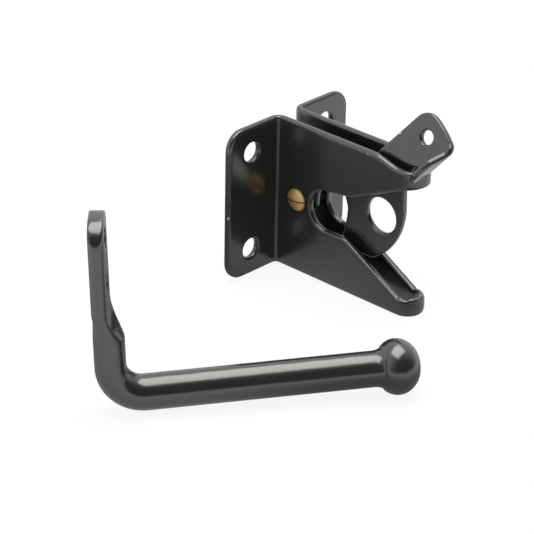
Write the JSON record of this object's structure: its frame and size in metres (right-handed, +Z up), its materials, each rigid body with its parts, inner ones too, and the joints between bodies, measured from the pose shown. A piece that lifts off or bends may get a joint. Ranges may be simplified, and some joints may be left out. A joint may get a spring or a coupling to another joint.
{
  "type": "gravity latch",
  "caption": "Black coated steel gate latch: a folded body with a flared mouth, a pivoting finger that drops behind the rod, and a separate ball ended striker bar.",
  "frame": {"origin": "centre of the four screw holes, on the mounting plane at the backs of the flanges", "axes": "+X along the flanges, +Z up, and the latch projects from the mounting plane towards -Y"},
  "size_m": [0.1609, 0.1031, 0.0734],
  "materials": {
    "latch_body": "satin black powder coat",
    "latch_finger": "satin black powder coat",
    "pivot_pin": "aged bright brass",
    "left_spacer_washer": "plain zinc plate",
    "right_spacer_washer": "plain zinc plate",
    "striker_bar": "satin black powder coat"
  },
  "bodies": {
    "latch": {"latch_body": "latch_body", "pivot_pin": "pivot_pin", "left_spacer_washer": "left_spacer_washer", "right_spacer_washer": "right_spacer_washer", "striker_bar": "striker_bar"},
    "finger": {"latch_finger": "latch_finger"}
  },
  "joints": [
    {"name": "finger_pivot", "type": "hinge", "parent": "latch", "child": "finger", "pos_m": [0, -0.0121, -0.0005], "axis": [-1, 0, 0], "range_deg": [0, 50]}
  ]
}
